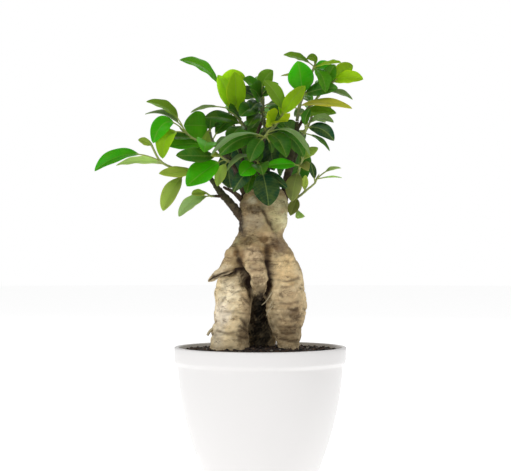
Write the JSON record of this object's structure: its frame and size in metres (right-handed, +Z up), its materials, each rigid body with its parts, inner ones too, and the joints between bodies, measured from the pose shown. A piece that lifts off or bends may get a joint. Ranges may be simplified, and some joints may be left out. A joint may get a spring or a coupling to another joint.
{
  "type": "potted ginseng ficus bonsai",
  "caption": "Ginseng ficus bonsai: swollen exposed roots under a grafted crown of leathery leaves, in a round tapering white pot with a rim band.",
  "frame": {"origin": "centre of the pot's flat underside, where it rests", "axes": "+Z up along the pot's axis and the trunk; the side seen in the picture faces -Y, +X to the viewer's right"},
  "size_m": [0.2312, 0.15, 0.3816],
  "materials": {
    "pot": "satin white glaze",
    "soil": "dark crumbly potting mix",
    "bark": "matte wrinkled beige bark",
    "leaf": "glossy leathery green leaf"
  },
  "bodies": {
    "root": {"pot": "pot", "soil": "soil", "trunk": "bark", "shoot_far_left": "leaf", "shoot_low_left": "leaf", "shoot_mid_left": "leaf", "shoot_left_back": "leaf", "shoot_left_front": "leaf", "shoot_top_left": "leaf", "shoot_top_mid": "leaf", "shoot_yellow": "leaf", "shoot_arch": "leaf", "shoot_front_low": "leaf", "shoot_top_right": "leaf", "shoot_right_out": "leaf", "shoot_right_mid": "leaf", "shoot_right_hang": "leaf", "shoot_right_low": "leaf", "shoot_back_left": "leaf", "shoot_back_mid": "leaf", "shoot_back_right": "leaf"}
  },
  "joints": []
}
